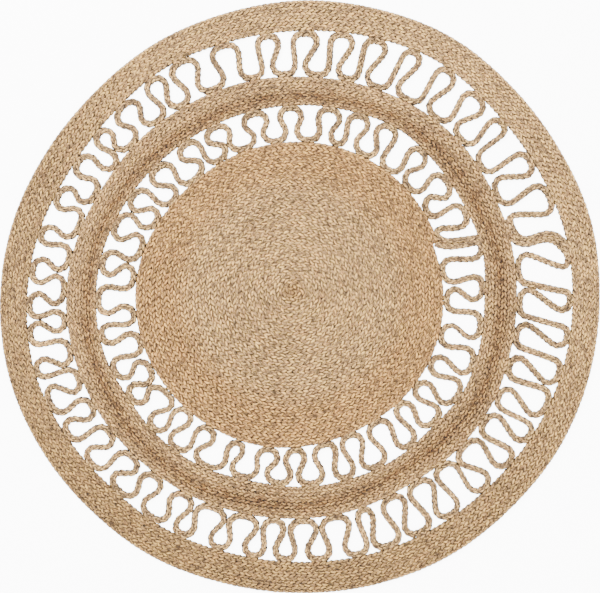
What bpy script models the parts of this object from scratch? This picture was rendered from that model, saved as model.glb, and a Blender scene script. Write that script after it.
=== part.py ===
# Round jute rug, 1.2 m across: a flat three-strand plait wound and sewn into five parts,
# from the middle out a centre disc, a ring of loops, a middle band, a second ring of loops
# and an outer border. Metres, +Z up, the underside on z = 0, the origin below the middle.

import math
from collections import namedtuple

import bmesh
import bpy
from mathutils import Vector

MM = 0.001

PLAIT_THICK = 9 * MM      # the plait, pressed flat
LOOP_WIDTH = 11.4 * MM    # the plait where it runs free between two parts
SEAM = 0.4 * MM           # left open where two parts are sewn together
EDGE_ROUND = 2.5 * MM     # how far a part's rim is rounded off
VALLEY_DEPTH = 2.2 * MM   # the dip along the middle band
BEND_DEPTH = 21 * MM      # from a loop's end to where the loop is widest
SHOULDER_OUT = 0.76       # between the two it rounds off: at this share of its half width
SHOULDER_DOWN = 0.25      # it has come down by this share of the depth
STEPS = 72                # facets round each part

# How far each part's edges lie from the rug's middle, in millimetres, every 15 degrees,
# counted from +X towards +Y. The parts are sewn by eye, so no edge is a true circle.
Edges = namedtuple("Edges", "disc bandInner bandOuter borderInner rim")
EDGES = [
    Edges(288, 371, 435, 549, 602),
    Edges(285, 379, 438, 549, 605),
    Edges(300, 379, 442, 544, 601),
    Edges(306, 385, 449, 544, 602),
    Edges(308, 394, 449, 552, 607),
    Edges(314, 391, 447, 546, 603),
    Edges(314, 390, 446, 540, 600),
    Edges(316, 390, 450, 538, 594),
    Edges(318, 392, 452, 540, 592),
    Edges(316, 396, 456, 533, 588),
    Edges(324, 403, 458, 533, 592),
    Edges(333, 411, 467, 545, 601),
    Edges(336, 415, 474, 554, 607),
    Edges(331, 414, 473, 559, 610),
    Edges(331, 404, 469, 551, 607),
    Edges(319, 402, 462, 542, 603),
    Edges(317, 395, 457, 541, 602),
    Edges(309, 383, 450, 535, 596),
    Edges(301, 382, 445, 534, 595),
    Edges(290, 379, 441, 536, 597),
    Edges(288, 377, 435, 537, 600),
    Edges(288, 372, 439, 538, 599),
    Edges(289, 378, 441, 544, 602),
    Edges(287, 374, 436, 548, 602),
]

# One row for each loop: between which angles, in degrees, the middle of the plait swings
# out at the loop's outer end (crest), and then at the inner end that follows it (trough).
Loop = namedtuple("Loop", "crestFrom crestTo troughFrom troughTo")
OUTER_LOOPS = [
    Loop(19.0, 25.5, 24.4, 31.1),
    Loop(28.5, 33.6, 33.5, 39.2),
    Loop(39.0, 42.9, 41.9, 47.9),
    Loop(45.9, 51.1, 50.2, 56.5),
    Loop(54.7, 59.0, 58.8, 65.3),
    Loop(63.4, 67.2, 67.6, 73.4),
    Loop(71.2, 75.8, 75.7, 80.7),
    Loop(78.6, 83.4, 83.2, 89.0),
    Loop(86.5, 91.8, 91.5, 97.0),
    Loop(95.2, 99.8, 99.6, 105.0),
    Loop(104.4, 110.3, 109.4, 115.8),
    Loop(114.1, 120.1, 119.0, 124.1),
    Loop(122.3, 126.8, 126.1, 131.8),
    Loop(130.1, 136.1, 134.8, 140.9),
    Loop(139.0, 143.0, 142.5, 146.8),
    Loop(146.1, 151.1, 150.4, 156.3),
    Loop(154.6, 159.6, 158.4, 165.4),
    Loop(164.2, 168.0, 167.5, 173.3),
    Loop(171.5, 176.6, 174.9, 181.3),
    Loop(179.1, 184.1, 183.2, 187.7),
    Loop(185.5, 190.1, 190.0, 195.7),
    Loop(193.4, 197.2, 197.1, 202.5),
    Loop(199.6, 205.7, 204.8, 209.7),
    Loop(207.8, 212.6, 212.4, 217.6),
    Loop(215.5, 220.9, 220.5, 226.2),
    Loop(223.5, 229.7, 228.4, 233.5),
    Loop(232.4, 238.5, 236.9, 242.2),
    Loop(241.0, 245.0, 243.8, 250.8),
    Loop(249.3, 253.6, 252.3, 259.0),
    Loop(257.2, 261.5, 260.7, 265.6),
    Loop(264.2, 268.6, 267.4, 273.7),
    Loop(271.5, 276.4, 275.2, 281.9),
    Loop(280.0, 285.0, 284.4, 288.1),
    Loop(286.6, 292.5, 291.2, 296.9),
    Loop(294.3, 300.0, 298.8, 305.2),
    Loop(302.3, 307.5, 306.9, 312.6),
    Loop(311.6, 316.4, 314.1, 321.2),
    Loop(319.4, 324.0, 323.1, 329.0),
    Loop(326.8, 331.2, 331.0, 336.3),
    Loop(333.2, 339.5, 339.1, 344.6),
    Loop(341.0, 346.4, 347.2, 353.2),
    Loop(349.5, 353.9, 355.2, 362.0),
    Loop(357.4, 361.6, 363.5, 370.9),
]
INNER_LOOPS = [
    Loop(24.0, 31.2, 31.1, 38.0),
    Loop(34.8, 42.7, 41.8, 49.6),
    Loop(47.4, 53.4, 52.4, 59.8),
    Loop(59.4, 65.6, 63.0, 70.5),
    Loop(68.8, 75.0, 74.5, 79.6),
    Loop(77.9, 84.5, 83.7, 91.4),
    Loop(90.0, 96.7, 95.3, 103.0),
    Loop(101.0, 108.2, 106.3, 114.9),
    Loop(113.4, 120.7, 117.0, 124.2),
    Loop(123.7, 130.5, 126.7, 136.2),
    Loop(134.7, 142.0, 139.2, 146.2),
    Loop(145.4, 152.2, 149.0, 155.9),
    Loop(154.1, 162.1, 158.9, 167.4),
    Loop(166.3, 173.1, 169.6, 177.0),
    Loop(176.7, 184.5, 182.7, 188.6),
    Loop(188.0, 193.4, 191.8, 198.9),
    Loop(198.2, 204.6, 201.5, 209.1),
    Loop(207.4, 213.4, 211.0, 219.9),
    Loop(218.2, 223.9, 222.0, 228.1),
    Loop(226.6, 233.2, 232.0, 238.2),
    Loop(235.8, 245.0, 244.1, 249.1),
    Loop(247.7, 255.6, 254.6, 261.5),
    Loop(259.0, 266.5, 264.6, 271.1),
    Loop(269.2, 276.9, 274.9, 282.6),
    Loop(281.1, 287.1, 285.5, 293.1),
    Loop(290.3, 298.2, 296.5, 304.9),
    Loop(303.4, 309.9, 309.3, 315.6),
    Loop(313.4, 321.1, 319.5, 326.0),
    Loop(323.4, 332.2, 330.4, 337.1),
    Loop(334.9, 343.1, 341.8, 349.6),
    Loop(346.8, 355.2, 355.1, 363.2),
    Loop(359.5, 366.9, 366.0, 374.5),
]

# Where each ring of loops begins and ends its two plaits lie side by side. A row is a point
# of the plait's middle: its angle, and how far out it lies, from 0 at the inner part's edge
# to 1 at the outer part's edge.
Turn = namedtuple("Turn", "at share")
OUTER_START = [
    Turn(12.0, 0.942),
    Turn(12.8, 0.905),
    Turn(13.85, 0.826),
    Turn(14.6, 0.707),
    Turn(14.85, 0.565),
    Turn(14.75, 0.4),
    Turn(15.0, 0.28),
    Turn(16.2, 0.185),
    Turn(17.8, 0.13),
    Turn(19.6, 0.105),
    Turn(21.0, 0.13),
    Turn(21.2, 0.215),
]
OUTER_END = [
    Turn(366.8, 0.87),
    Turn(368.2, 0.935),
    Turn(369.7, 0.915),
    Turn(371.1, 0.855),
    Turn(372.5, 0.78),
    Turn(373.25, 0.68),
    Turn(373.45, 0.55),
    Turn(373.3, 0.41),
    Turn(373.1, 0.29),
    Turn(373.8, 0.165),
    Turn(374.8, 0.075),
    Turn(376.0, 0.056),
]
INNER_START = [
    Turn(19.25, 0.985),
    Turn(19.55, 0.818),
    Turn(20.2, 0.592),
    Turn(21.1, 0.34),
    Turn(22.7, 0.175),
    Turn(24.5, 0.092),
    Turn(26.0, 0.112),
    Turn(26.3, 0.24),
    Turn(25.1, 0.44),
]
INNER_END = [
    Turn(372.9, 0.82),
    Turn(374.4, 0.922),
    Turn(376.1, 0.922),
    Turn(377.3, 0.87),
    Turn(377.65, 0.75),
    Turn(378.15, 0.557),
    Turn(378.85, 0.33),
    Turn(380.2, 0.15),
    Turn(381.3, 0.065),
]


def clearScene():
    for thing in list(bpy.data.objects):
        bpy.data.objects.remove(thing, do_unlink=True)


def onCircle(degrees, radius):
    angle = math.radians(degrees)
    return Vector((radius * math.cos(angle), radius * math.sin(angle)))


def smoothEdge(name, degrees):
    """A part's edge at an angle, in metres, on a smooth curve through the rows of EDGES."""
    place = (degrees % 360) / (360 / len(EDGES))
    row = int(place)
    t = place - row
    a, b, c, d = (getattr(EDGES[(row + k) % len(EDGES)], name) for k in (-1, 0, 1, 2))
    bend = (2 * a - 5 * b + 4 * c - d) * t ** 2 + (3 * b - a - 3 * c + d) * t ** 3
    return (b + 0.5 * ((c - a) * t + bend)) * MM


def facetEdge(name, degrees):
    """The same edge where the part's facets have it, straight from step to step."""
    step = 360 / STEPS
    low = math.floor(degrees / step) * step
    start, end = (onCircle(angle, smoothEdge(name, angle)) for angle in (low, low + step))
    along = end - start
    return start.cross(along) / onCircle(degrees, 1).cross(along)


def middleOfBox():
    rim = [onCircle(k * 360 / STEPS, smoothEdge("rim", k * 360 / STEPS)) for k in range(STEPS)]
    return Vector([(min(p[i] for p in rim) + max(p[i] for p in rim)) / 2 for i in (0, 1)])


def makeMaterial(name, colour, roughness):
    material = bpy.data.materials.new(name)
    material.use_nodes = True
    shader = material.node_tree.nodes["Principled BSDF"]
    shader.inputs["Base Color"].default_value = (*colour, 1)
    shader.inputs["Roughness"].default_value = roughness
    shader.inputs["Metallic"].default_value = 0
    return material


def addPart(name, data, height, material, collection):
    """Stands the part at its height, with the rug's box centred on the origin."""
    data.materials.append(material)
    part = bpy.data.objects.new(name, data)
    middle = middleOfBox()
    part.location = (-middle.x, -middle.y, height)
    collection.objects.link(part)
    return part


def makeRound(name, inner, outer, width, dip, material, collection):
    """Sewn rows of plait as one flat part: a section spun round and drawn to the part's two
    edges. The section counts its way out from 0 at the inner edge to 1 at the outer edge; a
    part without an inner edge reaches the middle."""
    top = PLAIT_THICK
    clear = EDGE_ROUND / width
    section = [(1 - clear, 0), (1, EDGE_ROUND), (1, top - EDGE_ROUND), (1 - clear, top)]
    if dip:
        section += [(0.68, top), (0.5, top - dip), (0.32, top)]
    if inner:
        section += [(clear, top), (0, top - EDGE_ROUND), (0, EDGE_ROUND), (clear, 0)]
    else:
        section = [(0, 0)] + section + [(0, top)]

    mesh = bmesh.new()
    # spun between radius 1 and radius 2, which stand for the inner and the outer edge
    verts = [mesh.verts.new((1 + way, 0, height)) for way, height in section]
    pairs = list(zip(verts, verts[1:]))
    if inner:
        pairs.append((verts[-1], verts[0]))
    edges = [mesh.edges.new(pair) for pair in pairs]
    bmesh.ops.spin(mesh, geom=verts + edges, cent=(0, 0, 0), axis=(0, 0, 1),
                   angle=math.tau, steps=STEPS, use_merge=True)
    for vert in mesh.verts:
        way = vert.co.to_2d().length - 1
        degrees = math.degrees(math.atan2(vert.co.y, vert.co.x))
        near = smoothEdge(inner, degrees) if inner else 0
        far = smoothEdge(outer, degrees)
        vert.co = (*onCircle(degrees, near + way * (far - near)), vert.co.z)
    bmesh.ops.remove_doubles(mesh, verts=mesh.verts, dist=0.01 * MM)
    bmesh.ops.recalc_face_normals(mesh, faces=mesh.faces)
    data = bpy.data.meshes.new(name)
    mesh.to_mesh(data)
    mesh.free()
    data.shade_smooth()
    data.set_sharp_from_angle(angle=math.radians(30))
    return addPart(name, data, 0, material, collection)


def bendPoints(start, end, edge, side):
    """A loop's bend between the two angles, against the edge of the part it is sewn to. The
    side is -1 for a bend at the outer end of the ring, which lies inside that edge."""
    middle, half = (start + end) / 2, (end - start) / 2
    halfWidth = math.radians(half) * smoothEdge(edge, middle)
    fall = BEND_DEPTH * SHOULDER_DOWN / (SHOULDER_OUT * halfWidth)
    corner = LOOP_WIDTH / 2 * math.hypot(1, fall)
    points = []
    for out, down in [(-1, 1), (-SHOULDER_OUT, SHOULDER_DOWN), (0, 0),
                      (SHOULDER_OUT, SHOULDER_DOWN), (1, 1)]:
        degrees = middle + out * half
        off = SEAM + corner + down * BEND_DEPTH
        points.append(onCircle(degrees, facetEdge(edge, degrees) + side * off))
    return points


def turnPoints(turns, inner, outer):
    points = []
    for turn in turns:
        near, far = facetEdge(inner, turn.at), facetEdge(outer, turn.at)
        points.append(onCircle(turn.at, near + turn.share * (far - near)))
    return points


def loopRoute(inner, outer, begin, loops, finish):
    """The middle of a ring's plait from its beginning, once round, to its end."""
    route = turnPoints(begin, inner, outer)
    for loop in loops:
        route += bendPoints(loop.crestFrom, loop.crestTo, outer, -1)
        route += bendPoints(loop.troughFrom, loop.troughTo, inner, 1)
    return route + turnPoints(finish, inner, outer)


def makeSection(collection):
    """The free plait's section, a guide that the loops' curves carry along their routes."""
    data = bpy.data.curves.new("plait_section", "CURVE")
    data.dimensions = "2D"
    spline = data.splines.new("POLY")
    spline.points.add(3)
    for point, (across, up) in zip(spline.points, [(-1, 1), (1, 1), (1, -1), (-1, -1)]):
        point.co = (across * LOOP_WIDTH / 2, up * PLAIT_THICK / 2, 0, 1)
    spline.use_cyclic_u = True
    section = bpy.data.objects.new("plait_section", data)
    section.hide_render = True
    section.display_type = "WIRE"
    collection.objects.link(section)
    return section


def makeLoops(name, route, section, material, collection):
    """The plait along its route. A flat curve keeps its full width round each corner."""
    data = bpy.data.curves.new(name, "CURVE")
    data.dimensions = "2D"
    data.bevel_mode = "OBJECT"
    data.bevel_object = section
    data.use_fill_caps = True
    spline = data.splines.new("POLY")
    spline.points.add(len(route) - 1)
    for point, place in zip(spline.points, route):
        point.co = (place.x, place.y, 0, 1)
    return addPart(name, data, PLAIT_THICK / 2, material, collection)


def build():
    clearScene()
    rug = bpy.data.collections.new("round_jute_rug")
    guides = bpy.data.collections.new("guides")
    for collection in (rug, guides):
        bpy.context.scene.collection.children.link(collection)
    section = makeSection(guides)
    jute = makeMaterial("jute_plait", (0.53, 0.37, 0.22), 0.9)
    brownJute = makeMaterial("brown_jute_plait", (0.46, 0.31, 0.18), 0.9)

    makeRound("centre_disc", None, "disc", 0.3, 0, jute, rug)
    makeLoops("inner_loops",
              loopRoute("disc", "bandInner", INNER_START, INNER_LOOPS, INNER_END),
              section, jute, rug)
    makeRound("middle_band", "bandInner", "bandOuter", 0.06, VALLEY_DEPTH, brownJute, rug)
    makeLoops("outer_loops",
              loopRoute("bandOuter", "borderInner", OUTER_START, OUTER_LOOPS, OUTER_END),
              section, jute, rug)
    makeRound("outer_border", "borderInner", "rim", 0.055, 0, jute, rug)


build()
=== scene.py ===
import math
from collections import namedtuple

import bmesh
import bpy
import numpy as np
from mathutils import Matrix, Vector


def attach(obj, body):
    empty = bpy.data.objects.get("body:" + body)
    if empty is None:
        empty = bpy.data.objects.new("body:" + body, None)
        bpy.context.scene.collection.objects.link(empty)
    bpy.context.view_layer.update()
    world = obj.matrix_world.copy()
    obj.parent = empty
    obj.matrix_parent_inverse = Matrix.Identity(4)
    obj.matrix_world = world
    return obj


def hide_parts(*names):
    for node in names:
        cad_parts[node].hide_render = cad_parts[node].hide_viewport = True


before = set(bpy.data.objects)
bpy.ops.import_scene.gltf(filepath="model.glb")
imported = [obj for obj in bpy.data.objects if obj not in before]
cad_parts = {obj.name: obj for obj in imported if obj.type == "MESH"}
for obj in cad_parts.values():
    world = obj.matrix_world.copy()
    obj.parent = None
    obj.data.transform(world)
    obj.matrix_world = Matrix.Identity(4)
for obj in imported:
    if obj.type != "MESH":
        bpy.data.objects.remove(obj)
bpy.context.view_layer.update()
print("loaded the solid model")

mm = 0.001

# How far each part's edges lie from the rug's middle, in millimetres, every 15 degrees,
# counted from +X towards +Y.
edgeRow = namedtuple("edgeRow", "disc bandInner bandOuter borderInner rim")
edgeRows = [
    edgeRow(288, 371, 435, 549, 602),
    edgeRow(285, 379, 438, 549, 605),
    edgeRow(300, 379, 442, 544, 601),
    edgeRow(306, 385, 449, 544, 602),
    edgeRow(308, 394, 449, 552, 607),
    edgeRow(314, 391, 447, 546, 603),
    edgeRow(314, 390, 446, 540, 600),
    edgeRow(316, 390, 450, 538, 594),
    edgeRow(318, 392, 452, 540, 592),
    edgeRow(316, 396, 456, 533, 588),
    edgeRow(324, 403, 458, 533, 592),
    edgeRow(333, 411, 467, 545, 601),
    edgeRow(336, 415, 474, 554, 607),
    edgeRow(331, 414, 473, 559, 610),
    edgeRow(331, 404, 469, 551, 607),
    edgeRow(319, 402, 462, 542, 603),
    edgeRow(317, 395, 457, 541, 602),
    edgeRow(309, 383, 450, 535, 596),
    edgeRow(301, 382, 445, 534, 595),
    edgeRow(290, 379, 441, 536, 597),
    edgeRow(288, 377, 435, 537, 600),
    edgeRow(288, 372, 439, 538, 599),
    edgeRow(289, 378, 441, 544, 602),
    edgeRow(287, 374, 436, 548, 602),
]

# One row for each loop: between which angles, in degrees, the middle of the plait swings
# out at the loop's outer end (crest), and then at the inner end that follows it (trough).
loopRow = namedtuple("loopRow", "crestFrom crestTo troughFrom troughTo")
outerLoops = [
    loopRow(19.0, 25.5, 24.4, 31.1),
    loopRow(28.5, 33.6, 33.5, 39.2),
    loopRow(39.0, 42.9, 41.9, 47.9),
    loopRow(45.9, 51.1, 50.2, 56.5),
    loopRow(54.7, 59.0, 58.8, 65.3),
    loopRow(63.4, 67.2, 67.6, 73.4),
    loopRow(71.2, 75.8, 75.7, 80.7),
    loopRow(78.6, 83.4, 83.2, 89.0),
    loopRow(86.5, 91.8, 91.5, 97.0),
    loopRow(95.2, 99.8, 99.6, 105.0),
    loopRow(104.4, 110.3, 109.4, 115.8),
    loopRow(114.1, 120.1, 119.0, 124.1),
    loopRow(122.3, 126.8, 126.1, 131.8),
    loopRow(130.1, 136.1, 134.8, 140.9),
    loopRow(139.0, 143.0, 142.5, 146.8),
    loopRow(146.1, 151.1, 150.4, 156.3),
    loopRow(154.6, 159.6, 158.4, 165.4),
    loopRow(164.2, 168.0, 167.5, 173.3),
    loopRow(171.5, 176.6, 174.9, 181.3),
    loopRow(179.1, 184.1, 183.2, 187.7),
    loopRow(185.5, 190.1, 190.0, 195.7),
    loopRow(193.4, 197.2, 197.1, 202.5),
    loopRow(199.6, 205.7, 204.8, 209.7),
    loopRow(207.8, 212.6, 212.4, 217.6),
    loopRow(215.5, 220.9, 220.5, 226.2),
    loopRow(223.5, 229.7, 228.4, 233.5),
    loopRow(232.4, 238.5, 236.9, 242.2),
    loopRow(241.0, 245.0, 243.8, 250.8),
    loopRow(249.3, 253.6, 252.3, 259.0),
    loopRow(257.2, 261.5, 260.7, 265.6),
    loopRow(264.2, 268.6, 267.4, 273.7),
    loopRow(271.5, 276.4, 275.2, 281.9),
    loopRow(280.0, 285.0, 284.4, 288.1),
    loopRow(286.6, 292.5, 291.2, 296.9),
    loopRow(294.3, 300.0, 298.8, 305.2),
    loopRow(302.3, 307.5, 306.9, 312.6),
    loopRow(311.6, 316.4, 314.1, 321.2),
    loopRow(319.4, 324.0, 323.1, 329.0),
    loopRow(326.8, 331.2, 331.0, 336.3),
    loopRow(333.2, 339.5, 339.1, 344.6),
    loopRow(341.0, 346.4, 347.2, 353.2),
    loopRow(349.5, 353.9, 355.2, 362.0),
    loopRow(357.4, 361.6, 363.5, 370.9),
]
innerLoops = [
    loopRow(24.0, 31.2, 31.1, 38.0),
    loopRow(34.8, 42.7, 41.8, 49.6),
    loopRow(47.4, 53.4, 52.4, 59.8),
    loopRow(59.4, 65.6, 63.0, 70.5),
    loopRow(68.8, 75.0, 74.5, 79.6),
    loopRow(77.9, 84.5, 83.7, 91.4),
    loopRow(90.0, 96.7, 95.3, 103.0),
    loopRow(101.0, 108.2, 106.3, 114.9),
    loopRow(113.4, 120.7, 117.0, 124.2),
    loopRow(123.7, 130.5, 126.7, 136.2),
    loopRow(134.7, 142.0, 139.2, 146.2),
    loopRow(145.4, 152.2, 149.0, 155.9),
    loopRow(154.1, 162.1, 158.9, 167.4),
    loopRow(166.3, 173.1, 169.6, 177.0),
    loopRow(176.7, 184.5, 182.7, 188.6),
    loopRow(188.0, 193.4, 191.8, 198.9),
    loopRow(198.2, 204.6, 201.5, 209.1),
    loopRow(207.4, 213.4, 211.0, 219.9),
    loopRow(218.2, 223.9, 222.0, 228.1),
    loopRow(226.6, 233.2, 232.0, 238.2),
    loopRow(235.8, 245.0, 244.1, 249.1),
    loopRow(247.7, 255.6, 254.6, 261.5),
    loopRow(259.0, 266.5, 264.6, 271.1),
    loopRow(269.2, 276.9, 274.9, 282.6),
    loopRow(281.1, 287.1, 285.5, 293.1),
    loopRow(290.3, 298.2, 296.5, 304.9),
    loopRow(303.4, 309.9, 309.3, 315.6),
    loopRow(313.4, 321.1, 319.5, 326.0),
    loopRow(323.4, 332.2, 330.4, 337.1),
    loopRow(334.9, 343.1, 341.8, 349.6),
    loopRow(346.8, 355.2, 355.1, 363.2),
    loopRow(359.5, 366.9, 366.0, 374.5),
]

# Where each ring of loops begins and ends its two plaits lie side by side. A row is a point
# of the plait's middle: its angle, and how far out it lies, from 0 at the inner part's edge
# to 1 at the outer part's edge.
turnRow = namedtuple("turnRow", "at share")
outerBegin = [
    turnRow(10.0, 0.995),
    turnRow(12.0, 0.942),
    turnRow(12.8, 0.905),
    turnRow(13.85, 0.826),
    turnRow(14.55, 0.707),
    turnRow(14.75, 0.565),
    turnRow(14.6, 0.4),
    turnRow(14.7, 0.265),
    turnRow(15.8, 0.16),
    turnRow(17.6, 0.108),
    turnRow(19.5, 0.095),
    turnRow(20.9, 0.12),
    turnRow(21.2, 0.215),
]
outerFinish = [
    turnRow(366.8, 0.885),
    turnRow(368.2, 0.955),
    turnRow(369.7, 0.94),
    turnRow(371.1, 0.87),
    turnRow(372.5, 0.79),
    turnRow(373.3, 0.68),
    turnRow(373.55, 0.55),
    turnRow(373.5, 0.41),
    turnRow(373.4, 0.29),
    turnRow(374.0, 0.17),
    turnRow(374.9, 0.08),
    turnRow(376.0, 0.056),
    turnRow(378.4, 0.03),
    turnRow(380.2, 0.02),
]
innerBegin = [
    turnRow(18.95, 0.985),
    turnRow(19.3, 0.818),
    turnRow(20.1, 0.592),
    turnRow(21.0, 0.34),
    turnRow(22.6, 0.17),
    turnRow(24.5, 0.092),
    turnRow(26.0, 0.112),
    turnRow(26.3, 0.24),
    turnRow(25.1, 0.44),
]
innerFinish = [
    turnRow(372.9, 0.83),
    turnRow(374.4, 0.95),
    turnRow(376.0, 0.98),
    turnRow(377.4, 0.94),
    turnRow(377.75, 0.79),
    turnRow(378.25, 0.557),
    turnRow(379.0, 0.33),
    turnRow(380.4, 0.15),
    turnRow(381.3, 0.065),
]

# What a user would change about the plait itself
plait = {
    "stitch": 11.7 * mm,      # from one chevron to the next
    "thick": 9.0 * mm,
    "spread": 2.9 * mm,       # how far neighbouring rows are pressed into each other
    "looseWidth": 14.4 * mm,  # in the legs of the loops
    "bendWidth": 15.8 * mm,   # where a loop turns and its plait spreads
    "strandWide": 7.0 * mm,
    "strandThick": 4.9 * mm,
    "hidden": 0.3,            # how much fuller a strand is where it lies under the others
    "heading": 3 * mm,        # how far before and after a point its direction is taken
    "wander": 0.22 * mm,      # how unevenly the strands were pulled
    "mostWander": 0.5 * mm,
    "uneven": 0.05,           # how much a strand's thickness changes
    "mostUneven": 0.08,
    "samples": 12,            # points on a strand in the three stitches of one full weave
    "looseSamples": 18,       # in the loops, which are seen from all sides
    "corners": 6,             # round a strand, whose section is a hexagon
    "girth": 17 * mm,         # round a strand, for its pattern
    "apart": 1.7,             # metres of pattern from one strand to the next
    "point": 0.001,           # how full a strand is at its cut ends
    "merge": 0.02 * mm,       # closes them
}


def onCircle(degrees, radius):
    angle = np.radians(degrees)
    return np.stack([radius * np.cos(angle), radius * np.sin(angle)], axis=-1)


# a part's edge at each angle, in metres, on a smooth curve through the rows
def edgeAt(name, degrees):
    column = np.array([getattr(row, name) for row in edgeRows], float)
    place = (np.asarray(degrees, float) % 360) / (360 / len(column))
    row = np.floor(place).astype(int)
    t = place - row
    a, b, c, d = (column[(row + k) % len(column)] for k in (-1, 0, 1, 2))
    bend = (2 * a - 5 * b + 4 * c - d) * t ** 2 + (3 * b - a - 3 * c + d) * t ** 3
    return (b + 0.5 * ((c - a) * t + bend)) * mm


# the solid model's box is centred on the origin, and the edges are counted from the middle
def boxMiddle():
    degrees = np.arange(0, 360, 5)
    rim = onCircle(degrees, edgeAt("rim", degrees))
    return (rim.min(axis=0) + rim.max(axis=0)) / 2


# a rounded line through points, by centripetal splines
def smoothLine(points, parts):
    points = np.concatenate([[2 * points[0] - points[1]], points,
                             [2 * points[-1] - points[-2]]])
    a, b, c, d = points[:-3], points[1:-2], points[2:-1], points[3:]
    first, gap, last = (np.linalg.norm((q - p)[:, :2], axis=1)[:, None] ** 0.5
                        for p, q in ((a, b), (b, c), (c, d)))
    leave = gap * ((b - a) / first - (c - a) / (first + gap) + (c - b) / gap)
    arrive = gap * ((c - b) / gap - (d - b) / (gap + last) + (d - c) / last)
    line = [(2 * t ** 3 - 3 * t ** 2 + 1) * b + (t ** 3 - 2 * t ** 2 + t) * leave
            + (3 * t ** 2 - 2 * t ** 3) * c + (t ** 3 - t ** 2) * arrive
            for t in np.arange(parts) / parts]
    line = np.stack(line, axis=1).reshape(-1, points.shape[1])
    return np.concatenate([line, points[-2:-1]])


# The three strands of a plait along a route. A strand swings from side to side once while
# it goes over and under twice, and the next follows a third of the way behind. Width, and
# how thin the row is pressed, are given for each point of the route.
def layStrands(route, width, pressed, closed, samples, dice):
    if closed:
        route, width, pressed = (np.concatenate([r, r[:1]]) for r in (route, width, pressed))
    along = np.linalg.norm(np.diff(route, axis=0), axis=1)
    along = np.concatenate([[0], np.cumsum(along)])
    weaves = max(2, round(along[-1] / (3 * plait["stitch"])))
    count = weaves * samples
    at = np.arange(count if closed else count + 1) / count * along[-1]

    def onRoute(where):
        where = where % along[-1] if closed else where.clip(0, along[-1])
        return np.stack([np.interp(where, along, route[:, k]) for k in (0, 1)], axis=1)

    middle = onRoute(at)
    way = onRoute(at + plait["heading"]) - onRoute(at - plait["heading"])
    way /= np.linalg.norm(way, axis=1)[:, None]
    side = np.stack([-way[:, 1], way[:, 0]], axis=1)
    width, pressed = np.interp(at, along, width), np.interp(at, along, pressed)
    swing = (width - plait["strandWide"]) / 2
    rise = (plait["thick"] - plait["strandThick"]) / 2
    strands = []
    begin = dice.random()
    for strand in range(3):
        turn = math.tau * (np.arange(len(at)) / samples + strand / 3 + begin)
        wander = dice.normal(0, plait["wander"], (2, len(at)))
        wander = wander.clip(-plait["mostWander"], plait["mostWander"])
        over = np.sin(2 * turn)
        edgewise = np.sin(turn) ** 6    # at the plait's edge a strand shows from both sides
        across = swing * np.sin(turn) + wander[0]
        height = pressed * (plait["thick"] / 2 + rise * over + 0.5 * wander[1])
        size = dice.normal(0, plait["uneven"], len(at))
        size = 1 + size.clip(-plait["mostUneven"], plait["mostUneven"])
        size *= 1 + plait["hidden"] * (-over).clip(0, 1)
        height = np.maximum(height, size * plait["strandThick"] / 2)    # lies on the floor
        strands.append({"place": np.column_stack([middle + across[:, None] * side, height]),
                        "size": size, "closed": closed, "length": along[-1],
                        "open": np.maximum(over, edgewise),
                        "openBelow": np.maximum(-over, edgewise)})
    return strands


# the part of a strand between two of its points, drawn to a point at a cut end
def cutStrand(strand, first, last):
    piece = {key: strand[key][first:last].copy()
             for key in ("place", "size", "open", "openBelow")}
    piece["length"] = strand["length"] * len(piece["size"]) / len(strand["size"])
    piece["closed"] = False
    return piece


# a strand's section, with its flat sides above and below
def strandOval():
    oval = bpy.data.curves.new("strandOval", "CURVE")
    oval.dimensions = "2D"
    rim = oval.splines.new("POLY")
    rim.points.add(plait["corners"] - 1)
    for k, point in enumerate(rim.points):
        # a hexagon is the root of three quarters as high as it is wide
        angle = -math.tau * k / plait["corners"]
        point.co = (plait["strandWide"] / 2 * math.cos(angle),
                    plait["strandThick"] / math.sqrt(3) * math.sin(angle), 0, 1)
    rim.use_cyclic_u = True
    return bpy.data.objects.new("strandOval", oval)


# each strand is a curve that carries the oval, and all of them become one mesh
def strandMesh(name, strands):
    oval = strandOval()
    curve = bpy.data.curves.new(name, "CURVE")
    curve.dimensions = "3D"
    curve.twist_mode = "Z_UP"
    curve.bevel_mode = "OBJECT"
    curve.bevel_object = oval
    for strand in strands:
        count = len(strand["size"])
        if not strand["closed"]:
            strand["size"][[0, -1]] = plait["point"]
        spline = curve.splines.new("POLY")
        spline.points.add(count - 1)
        points = np.column_stack([strand["place"], np.ones(count)])
        spline.points.foreach_set("co", points.ravel())
        spline.points.foreach_set("radius", strand["size"])
        spline.use_cyclic_u = strand["closed"]
    maker = bpy.data.objects.new(name, curve)
    for thing in (oval, maker):
        bpy.context.scene.collection.objects.link(thing)
    bpy.context.view_layer.update()
    depsgraph = bpy.context.evaluated_depsgraph_get()
    mesh = bpy.data.meshes.new_from_object(maker.evaluated_get(depsgraph))
    for thing in (oval, maker):
        bpy.data.objects.remove(thing)
    return mesh


# the UV runs in metres along and round each strand, each strand on a stretch of its own
def mapStrands(mesh, strands):
    ringLoops = 4 * plait["corners"]    # a four-sided face at each corner
    uv = np.zeros(len(mesh.loops) * 2)
    mesh.uv_layers[0].uv.foreach_get("vector", uv)
    uv = uv.reshape(-1, 2)
    start = 0
    for k, strand in enumerate(strands):
        end = start + (len(strand["size"]) - (not strand["closed"])) * ringLoops
        uv[start:end, 0] = uv[start:end, 0] * strand["length"] + plait["apart"] * k
        start = end
    uv[:, 1] *= plait["girth"]
    mesh.uv_layers[0].uv.foreach_set("vector", uv.ravel())
    mesh.uv_layers[0].name = "strandMap"


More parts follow.
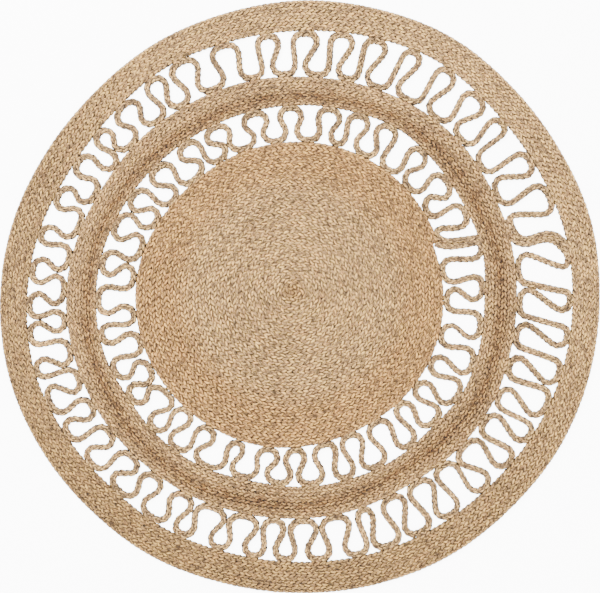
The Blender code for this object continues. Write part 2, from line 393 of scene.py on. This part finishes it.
# How far each point is from a crevice, which sets the painted crevice shade: least on a
# strand's sides and where it dives, seen from above for its upper half and from below for
# its lower half. Beside it is the tinting: the disc's own warmer colour, and painted shade
# in the band and the border.
def markStrands(mesh, strands, tintAndShadeAt):
    corners = np.zeros(len(mesh.vertices) * 3)
    mesh.vertices.foreach_get("co", corners)
    height = corners.reshape(-1, plait["corners"], 3)[:, :, 2]
    rise = height - height.mean(axis=1, keepdims=True)
    lit = np.zeros(rise.shape)
    for key, half in (("open", rise.clip(0, None)), ("openBelow", (-rise).clip(0, None))):
        shown = np.concatenate([s[key] for s in strands])[:, None]
        lit += shown * half / half.max(axis=1, keepdims=True)
    tintAndShade = np.concatenate([tintAndShadeAt(s["place"]) for s in strands])
    tintAndShade = np.repeat(tintAndShade, plait["corners"])
    for attribute, values in (("open", lit.ravel()), ("tintAndShade", tintAndShade)):
        mesh.attributes.new(attribute, "FLOAT", "POINT").data.foreach_set("value", values)


# one piece from many strands, moved to where the solid model has it
def plaitPiece(name, node, material, strands, tintAndShadeAt):
    mesh = strandMesh(name, strands)
    mapStrands(mesh, strands)
    markStrands(mesh, strands, tintAndShadeAt)
    work = bmesh.new()
    work.from_mesh(mesh)
    bmesh.ops.remove_doubles(work, verts=work.verts, dist=plait["merge"])
    bmesh.ops.recalc_face_normals(work, faces=work.faces)
    bmesh.ops.translate(work, verts=work.verts, vec=(-shift[0], -shift[1], 0))
    work.to_mesh(mesh)
    work.free()
    mesh.name = name
    mesh.shade_smooth()
    mesh.materials.clear()
    mesh.materials.append(material)
    piece = bpy.data.objects.new(name, mesh)
    bpy.context.scene.collection.objects.link(piece)
    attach(piece, "root")
    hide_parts(node)
    print(name, sum(len(p.vertices) - 2 for p in mesh.polygons), "triangles")


def hexColour(text):
    parts = [int(text[k:k + 2], 16) / 255 for k in (1, 3, 5)]
    return tuple(c / 12.92 if c <= 0.04045 else ((c + 0.055) / 1.055) ** 2.4
                 for c in parts) + (1,)


def addNode(material, kind, settings=None, values=None, links=None):
    node = material.node_tree.nodes.new(kind)
    for name, value in (settings or {}).items():
        setattr(node, name, value)
    for name, value in (values or {}).items():
        node.inputs[name].default_value = value
    for name, source in (links or {}).items():
        material.node_tree.links.new(source, node.inputs[name])
    return node


# How the jute's patterns are stretched along and round a strand: cells for each metre
fibre = {
    "streaks": (105, 500, 1),     # bundles of fibres 10 mm long, drawn 2 mm wide
    "lumps": (130, 90, 1),        # each stitch catches its own tone
    "lengths": (9, 0, 1),         # a strand's colour over 110 mm
    "hues": (22, 0, 1),           # and its hue over 45 mm
    "flecks": (55, 240, 1),       # 18 mm long and 4 mm wide
    "singles": (50, 2400, 1),     # single fibres, 0.4 mm thick and 20 mm long
    "patches": (11, 11, 11),      # areas of the rug 90 mm across
    "contrast": 0.075,            # the tones' range to each side of the noise's middle
    "bump": 0.35 * mm,
}


# one of the patterns as a noise
def fibreNoise(material, vector, pattern, detail, roughness):
    mapped = addNode(material, "ShaderNodeMapping", None, {"Scale": fibre[pattern]},
                     {"Vector": vector})
    return addNode(material, "ShaderNodeTexNoise", None,
                   {"Scale": 1, "Detail": detail, "Roughness": roughness},
                   {"Vector": mapped.outputs[0]}).outputs["Fac"]


# the patterns' shares add up to one tone, from brown to straw
def strandTone(material, colours, along, streaks):
    rugMap = addNode(material, "ShaderNodeTexCoord")
    lengths = fibreNoise(material, along, "lengths", 2, 0.6)
    lumps = fibreNoise(material, along, "lumps", 1, 0.5)
    patches = fibreNoise(material, rugMap.outputs["Object"], "patches", 2, 0.5)
    mix = addNode(material, "ShaderNodeMath", {"operation": "MULTIPLY"},
                  {1: colours["lengths"]}, {0: lengths}).outputs[0]
    for source, share in ((streaks, colours["streaks"]), (lumps, colours["lumps"]),
                          (patches, colours["patches"])):
        mix = addNode(material, "ShaderNodeMath", {"operation": "MULTIPLY_ADD"}, {1: share},
                      {0: source, 2: mix}).outputs[0]
    total = sum(colours[share] for share in ("lengths", "streaks", "lumps", "patches"))
    ramp = addNode(material, "ShaderNodeMapRange", {"clamp": True},
                   {"From Min": total * (0.5 - fibre["contrast"]),
                    "From Max": total * (0.5 + fibre["contrast"])}, {"Value": mix})
    tone = addNode(material, "ShaderNodeValToRGB", None, None, {"Fac": ramp.outputs[0]})
    stops = tone.color_ramp.elements
    stops[0].color = hexColour(colours["brown"])
    stops[1].color = hexColour(colours["straw"])
    middle = stops.new(0.5)
    middle.color = hexColour(colours["tan"])
    return tone.outputs["Color"]


# retted unevenly, so some lengths are greener and some pinker
def strandHue(material, colours, along):
    hues = fibreNoise(material, along, "hues", 1, 0.5)
    hue = addNode(material, "ShaderNodeValToRGB", None, None, {"Fac": hues})
    stops = hue.color_ramp.elements
    stops[0].position, stops[1].position = 0.36, 0.64
    stops[0].color = hexColour(colours["green"])
    stops[1].color = hexColour(colours["pink"])
    middle = stops.new(0.5)
    middle.color = hexColour("#FFFFFF")
    return hue.outputs["Color"]


# how much a place is tinted, with the disc's own warmer colour and with the painted shade
# of the band and the border: a part of the rug at a time, and there in flecks
def tintAndShadeShare(material, colours, along):
    tintAndShade = addNode(material, "ShaderNodeAttribute", {"attribute_name": "tintAndShade"})
    flecks = addNode(material, "ShaderNodeMapRange", {"clamp": True},
                     {"From Min": 0.40, "From Max": 0.62,
                      "To Min": colours["even"], "To Max": 1.0},
                     {"Value": fibreNoise(material, along, "flecks", 2, 0.6)})
    return addNode(material, "ShaderNodeMath", {"operation": "MULTIPLY"}, None,
                   {0: tintAndShade.outputs["Fac"], 1: flecks.outputs[0]}).outputs[0]


# painted shade: how dark a place is painted because it lies in a crevice
def paintedCreviceShade(material, colours):
    lit = addNode(material, "ShaderNodeAttribute", {"attribute_name": "open"})
    return addNode(material, "ShaderNodeMapRange", {"interpolation_type": "SMOOTHSTEP"},
                   {"From Min": 0.05, "From Max": colours["crevice"],
                    "To Min": colours["dive"], "To Max": 0.0},
                   {"Value": lit.outputs["Fac"]}).outputs[0]


# Jute is the bast of a plant, combed, hardly twisted and plaited dry: matt, straw to brown
# from strand to strand and along each, streaked by fibres. Painted shade darkens it where
# it dives under and in the crevices between strands.
def juteMaterial(name, colours):
    material = bpy.data.materials.new(name)
    material.use_nodes = True
    tree = material.node_tree
    shader = tree.nodes["Principled BSDF"]
    along = addNode(material, "ShaderNodeUVMap", {"uv_map": "strandMap"}).outputs["UV"]
    streaks = fibreNoise(material, along, "streaks", 3, 0.6)
    multiply = {"data_type": "RGBA", "blend_type": "MULTIPLY"}
    hued = addNode(material, "ShaderNodeMix", multiply, {0: 1.0},
                   {6: strandTone(material, colours, along, streaks),
                    7: strandHue(material, colours, along)})
    # the tinting: the disc's own warmer colour, and painted shade in the band and the border
    tintedAndShaded = addNode(material, "ShaderNodeMix", multiply, {7: hexColour(colours["tintAndShade"])},
                     {0: tintAndShadeShare(material, colours, along), 6: hued.outputs[2]})
    # painted shade: the crevices are multiplied towards a near-black colour
    creviceShaded = addNode(material, "ShaderNodeMix", multiply, {7: hexColour(colours["creviceShade"])},
                    {0: paintedCreviceShade(material, colours), 6: tintedAndShaded.outputs[2]})

    # single fibres, seen only from close by
    singles = fibreNoise(material, along, "singles", 3, 0.7)
    fibreTone = addNode(material, "ShaderNodeMapRange", None,
                        {"From Min": 0.3, "From Max": 0.7, "To Min": 0.62, "To Max": 1.32},
                        {"Value": singles})
    combed = addNode(material, "ShaderNodeVectorMath", {"operation": "SCALE"}, None,
                     {0: creviceShaded.outputs[2], "Scale": fibreTone.outputs[0]})
    tree.links.new(combed.outputs[0], shader.inputs["Base Color"])
    height = addNode(material, "ShaderNodeMath", {"operation": "ADD"}, None,
                     {0: streaks, 1: singles})
    bump = addNode(material, "ShaderNodeBump", None,
                   {"Strength": 0.8, "Distance": fibre["bump"]},
                   {"Height": height.outputs[0]})
    tree.links.new(bump.outputs[0], shader.inputs["Normal"])
    shader.inputs["Roughness"].default_value = 0.85
    shader.inputs["Specular IOR Level"].default_value = 0.3
    return material


shift = boxMiddle()

view = {
    "pixels": (600, 593),
    "pixel": 2.015 * mm,               # on the rug
    "rugMiddle": (301.13, 297.96),     # in the picture, in pixels from its top left corner
    "lens": 60,
    "sensor": 36,
    "farthest": 50,                    # metres
}


# straight above, so far off that the picture is as wide as the rug's pixels say
def addCamera():
    data = bpy.data.cameras.new("camera")
    camera = bpy.data.objects.new("camera", data)
    bpy.context.scene.collection.objects.link(camera)
    bpy.context.scene.camera = camera
    data.lens = view["lens"]
    data.sensor_fit = "HORIZONTAL"
    data.sensor_width = view["sensor"]
    wide = view["pixels"][0] * view["pixel"]
    x = (view["pixels"][0] / 2 - view["rugMiddle"][0]) * view["pixel"] - shift[0]
    y = (view["rugMiddle"][1] - view["pixels"][1] / 2) * view["pixel"] - shift[1]
    camera.location = (x, y, plait["thick"] + wide * data.lens / data.sensor_width)
    data.clip_end = view["farthest"]


studio = {
    "floorHalf": 6,      # half its side, in metres
    "floorTone": 0.96,
    "floorGlow": 8.0,    # a light table's, so that the holes read white
    "skyStrength": 2.2,
    # each light's place in metres, its size in metres and its power in watts
    "keyLight": ((-1.6, 1.8, 2.4), 1.6, 210),
    "fillLight": ((1.8, -1.4, 2.6), 2.4, 85),
}


def addFloor():
    mesh = bpy.data.meshes.new("floor")
    work = bmesh.new()
    bmesh.ops.create_grid(work, x_segments=1, y_segments=1, size=studio["floorHalf"])
    work.to_mesh(mesh)
    work.free()
    floor = bpy.data.objects.new("floor", mesh)
    bpy.context.scene.collection.objects.link(floor)
    paint = bpy.data.materials.new("paintedFloor")
    paint.use_nodes = True
    shader = paint.node_tree.nodes["Principled BSDF"]
    shader.inputs["Base Color"].default_value = (studio["floorTone"],) * 3 + (1,)
    shader.inputs["Roughness"].default_value = 0.9
    shader.inputs["Emission Color"].default_value = (1, 1, 1, 1)
    shader.inputs["Emission Strength"].default_value = studio["floorGlow"]
    mesh.materials.append(paint)


def addLights():
    for name in ("keyLight", "fillLight"):
        place, size, power = studio[name]
        data = bpy.data.lights.new(name, "AREA")
        data.size = size
        data.energy = power
        light = bpy.data.objects.new(name, data)
        light.location = place
        light.rotation_euler = (-Vector(place)).to_track_quat("-Z", "Y").to_euler()
        bpy.context.scene.collection.objects.link(light)
    world = bpy.data.worlds.new("studio")
    bpy.context.scene.world = world
    world.use_nodes = True
    sky = world.node_tree.nodes["Background"]
    sky.inputs["Color"].default_value = (1, 1, 1, 1)
    sky.inputs["Strength"].default_value = studio["skyStrength"]


addCamera()
addFloor()
addLights()
print("camera, floor and lights")

dice = np.random.default_rng(11)    # every uneven thing below is drawn from it, in this order

disc = {
    "turns": 25.2,
    "middle": (-16 * mm, 13 * mm),    # where the winding starts, off the rug's middle
    "end": 22,                        # degrees, where the last turn leaves for the loops
    "missing": 0.12,                  # turns that the winding stops short of its end
    "heartTurns": 17.5,               # in the piece that holds the middle
    "row": 12.2 * mm,
    "step": 1 / 240,                  # of a turn, between two points of the route
    "smooth": 16,                     # degrees to each side over which the rim is evened
    "begin": 9 * mm,                  # the straight end that fills the middle of the winding
    "tightShade": 0.24,                    # how much darker the painted crevice shade is in the tightest turns
    "tightWide": 22 * mm,
    "warmFrom": 195 * mm,             # from here outwards the turns get warmer
    "warmOver": 50 * mm,
    "warmMiddle": 30 * mm,            # and inwards from here
}


# A spiral that starts round the winding's middle and ends along the disc's own edge.
def discRoute():
    degrees = np.arange(0, 360, 2.0)
    edge = edgeAt("disc", degrees) + disc["row"] * (((degrees - disc["end"]) % 360) / 360)
    near = np.arange(-disc["smooth"], disc["smooth"] + 1, 2) // 2
    edge = np.mean([np.roll(edge, k) for k in near], axis=0) - disc["row"] / 2
    turn = np.arange(0, disc["turns"] - disc["missing"], disc["step"])
    at = (disc["end"] + 360 * turn) % 360
    outer = onCircle(at, np.interp(at, np.append(degrees, 360), np.append(edge, edge[0])))
    share = (1 - turn / disc["turns"])[:, None]
    middle = np.array(disc["middle"])
    winding = (middle + share * (outer - middle))[::-1]
    way = winding[0] - winding[1]
    straight = np.linspace(disc["begin"], 0, 10)[:-1, None] * way / np.linalg.norm(way)
    return np.concatenate([winding[0] + straight, winding])


def fromMiddle(place):
    return np.linalg.norm(place[:, :2] - np.array(disc["middle"]), axis=1)


def discTint(place):
    radius = fromMiddle(place)
    outer = (radius - disc["warmFrom"]) / disc["warmOver"]
    return np.maximum(outer, 1 - radius / disc["warmMiddle"]).clip(0, 1)


route = discRoute()
full = np.ones(len(route))
strands = layStrands(route, (disc["row"] + plait["spread"]) * full, full, False,
                     plait["samples"], dice)
# painted shade: the crevices of the tightest turns near the winding's middle are painted
# darker
for strand in strands:
    nearness = np.exp(-(fromMiddle(strand["place"]) / disc["tightWide"]) ** 2)
    strand["open"] *= 1 - disc["tightShade"] * nearness

# the winding is long, so it is two pieces, which overlap a little where they are cut
split = int(len(strands[0]["size"]) * (disc["heartTurns"] / disc["turns"]) ** 2)
juteColours = {
    "straw": "#EDBD6C",
    "tan": "#A47F57",
    "brown": "#53422C",
    "creviceShade": "#1F1D1B",    # painted shade at the bottom of a crevice
    "tintAndShade": "#F5EADB",      # the disc's warmer and darker places; in the band and the border, painted shade
    "green": "#F9FAEF",
    "pink": "#FFF7F1",
    "dive": 1.0,            # how dark the painted crevice shade gets
    "crevice": 0.94,        # how wide the painted crevice shade is
    "even": 1.0,            # how much of the tinting and painted shade lies between its flecks
    "streaks": 1.7,         # the patterns' shares in the tone
    "lengths": 0.25,
    "lumps": 0.1,
    "patches": 0.1,
}
sewnJute = juteMaterial("sewnJute", juteColours)
plaitPiece("discHeart", "centre_disc", sewnJute,
           [cutStrand(s, 0, split + 2) for s in strands], discTint)
plaitPiece("discTurns", "centre_disc", sewnJute,
           [cutStrand(s, split - 1, None) for s in strands], discTint)

loopShape = {
    "depth": 21 * mm,    # from a loop's end to where it is widest
    "sunk": 1.5 * mm,    # how far a bend is sewn into the edge it meets
    "tuck": 7 * mm,      # how much of each end goes under the part that it meets
    "uneven": 0.06,      # how much the plait's width changes from place to place
    "unevenEvery": 18,   # points of the route
    "parts": 6,          # points of the route to each point of the tables
    "straight": 0.4,     # how wide the ends are, from a leg's width to a bend's
}

# A bend from one leg to the other: how far round from its middle, and how far in from its
# edge, both as shares
bendShape = np.array([(-1, 1), (-0.93, 0.55), (-0.70, 0.20), (-0.36, 0.03), (0, 0),
                      (0.36, 0.03), (0.70, 0.20), (0.93, 0.55), (1, 1)])


# The middle of a ring's plait from its beginning, once round, to its end, and its width.
# Fullness is the width's share of the plait's own.
def loopRoute(inner, outer, begin, loops, finish, fullness, dice):
    def tucked(end, before):
        way = end - before
        return end + way * loopShape["tuck"] / np.linalg.norm(way[:2])

    def against(edge, side, start, end):
        swung, off = bendShape.T
        degrees = (start + end) / 2 + swung * (end - start) / 2
        half = fullness * plait["bendWidth"] / 2
        away = half - loopShape["sunk"] + off * loopShape["depth"]
        places = onCircle(degrees, edgeAt(edge, degrees) + side * away)
        return np.column_stack([places, 1 - off])

    def beside(turns):
        turns = np.array(turns, float)
        near, far = edgeAt(inner, turns[:, 0]), edgeAt(outer, turns[:, 0])
        places = onCircle(turns[:, 0], near + turns[:, 1] * (far - near))
        return np.column_stack([places, np.full(len(turns), loopShape["straight"])])

    points = [beside(begin)]
    for loop in loops:
        points.append(against(outer, -1, loop.crestFrom, loop.crestTo))
        points.append(against(inner, 1, loop.troughFrom, loop.troughTo))
    points = np.concatenate(points + [beside(finish)])
    points = np.concatenate([[tucked(points[0], points[1])], points,
                             [tucked(points[-1], points[-2])]])
    line = smoothLine(points, loopShape["parts"])
    width = plait["looseWidth"] + (plait["bendWidth"] - plait["looseWidth"]) * line[:, 2]
    knots = np.arange(0, len(line), loopShape["unevenEvery"])
    swell = np.interp(np.arange(len(line)), knots,
                      dice.normal(1, loopShape["uneven"], len(knots)))
    return line[:, :2], width * swell * fullness


# the loops' jute: its own tones, and a darker and wider painted crevice shade
looseColours = dict(juteColours, straw="#E6B870", tan="#93734F", brown="#443628",
                    creviceShade="#100F0E", crevice=1.0)
looseJute = juteMaterial("looseJute", looseColours)

# each ring's piece and node, the edges and tables that it follows, and its fullness
loopRings = (
    ("innerLoopPlait", "inner_loops",
     ("disc", "bandInner", innerBegin, innerLoops, innerFinish, 0.91)),
    ("outerLoopPlait", "outer_loops",
     ("bandOuter", "borderInner", outerBegin, outerLoops, outerFinish, 0.92)),
)
for name, node, ring in loopRings:
    route, width = loopRoute(*ring, dice)
    strands = layStrands(route, width, np.ones(len(route)), False,
                         plait["looseSamples"], dice)
    plaitPiece(name, node, looseJute, strands,
               lambda place: np.zeros(len(place)))

band = {
    "rows": 5,
    "dipWide": 0.24,    # of the band's width
    "pressed": 0.25,    # how much thinner the rows are there
}

# How far across the band its dip lies, every 30 degrees: pressed thinner there, and darkened
# with painted shade
dipRow = namedtuple("dipRow", "at share")
dips = [
    dipRow(0, 0.54),
    dipRow(30, 0.37),
    dipRow(60, 0.27),
    dipRow(90, 0.30),
    dipRow(120, 0.26),
    dipRow(150, 0.31),
    dipRow(180, 0.30),
    dipRow(210, 0.48),
    dipRow(240, 0.60),
    dipRow(270, 0.60),
    dipRow(300, 0.44),
    dipRow(330, 0.54),
    dipRow(360, 0.54),
]
border = {
    "rows": 5,
    "lightest": 50,     # degrees, where the painted shade is least
    "fall": 0.7,        # how soon the painted shade gets darker from there: less is sooner
}
degrees = np.arange(0, 360, 0.25)


# closed rows side by side from one edge to another
def sewnRows(inner, outer, rows, pressedAt):
    near, far = edgeAt(inner, degrees), edgeAt(outer, degrees)
    laid = []
    for row in range(rows):
        share = (row + 0.5) / rows
        route = onCircle(degrees, near + share * (far - near))
        width = (far - near) / rows + plait["spread"]
        pressed = 1 - pressedAt(share, degrees)
        laid.append(layStrands(route, width, pressed, True, plait["samples"], dice))
    return laid


# how deep the dip is at a place across the band
def dipAt(share, angle):
    middle = np.interp(angle % 360, [dip.at for dip in dips], [dip.share for dip in dips])
    return np.exp(-((share - middle) / band["dipWide"]) ** 2)


# painted shade: the band's colour darkens in its dip
def bandDipShade(place):
    radius = np.linalg.norm(place[:, :2], axis=1)
    angle = np.degrees(np.arctan2(place[:, 1], place[:, 0]))
    near, far = edgeAt("bandInner", angle), edgeAt("bandOuter", angle)
    return dipAt((radius - near) / (far - near), angle)


# the band's tinting colour is the painted shade of its dip, in flecks
bandColours = dict(juteColours, straw="#E5B468", tan="#9C7851", brown="#53412C",
                   tintAndShade="#8C7866", even=0.35)
bandJute = juteMaterial("bandJute", bandColours)
rows = sewnRows("bandInner", "bandOuter", band["rows"],
                lambda share, angle: band["pressed"] * dipAt(share, angle))
plaitPiece("bandRows", "middle_band", bandJute, sum(rows, []), bandDipShade)

# pressed nowhere
rows = sewnRows("borderInner", "rim", border["rows"], lambda share, angle: 0 * angle)
# the border's tinting colour is its painted shade
borderColours = dict(juteColours, straw="#F5C470", tan="#AA845A", brown="#56442E",
                     tintAndShade="#D6D3CE")
borderJute = juteMaterial("borderJute", borderColours)


# painted shade: the border's colour is darkest at the lower left of the picture and lightest
# towards the upper right
def borderPaintedShade(place):
    angle = np.arctan2(place[:, 1], place[:, 0])
    turned = angle - math.radians(border["lightest"])
    return (0.5 - 0.5 * np.cos(turned)) ** border["fall"]


plaitPiece("borderRows", "outer_border", borderJute, sum(rows[:3], []), borderPaintedShade)
plaitPiece("rimRows", "outer_border", borderJute, sum(rows[3:], []), borderPaintedShade)
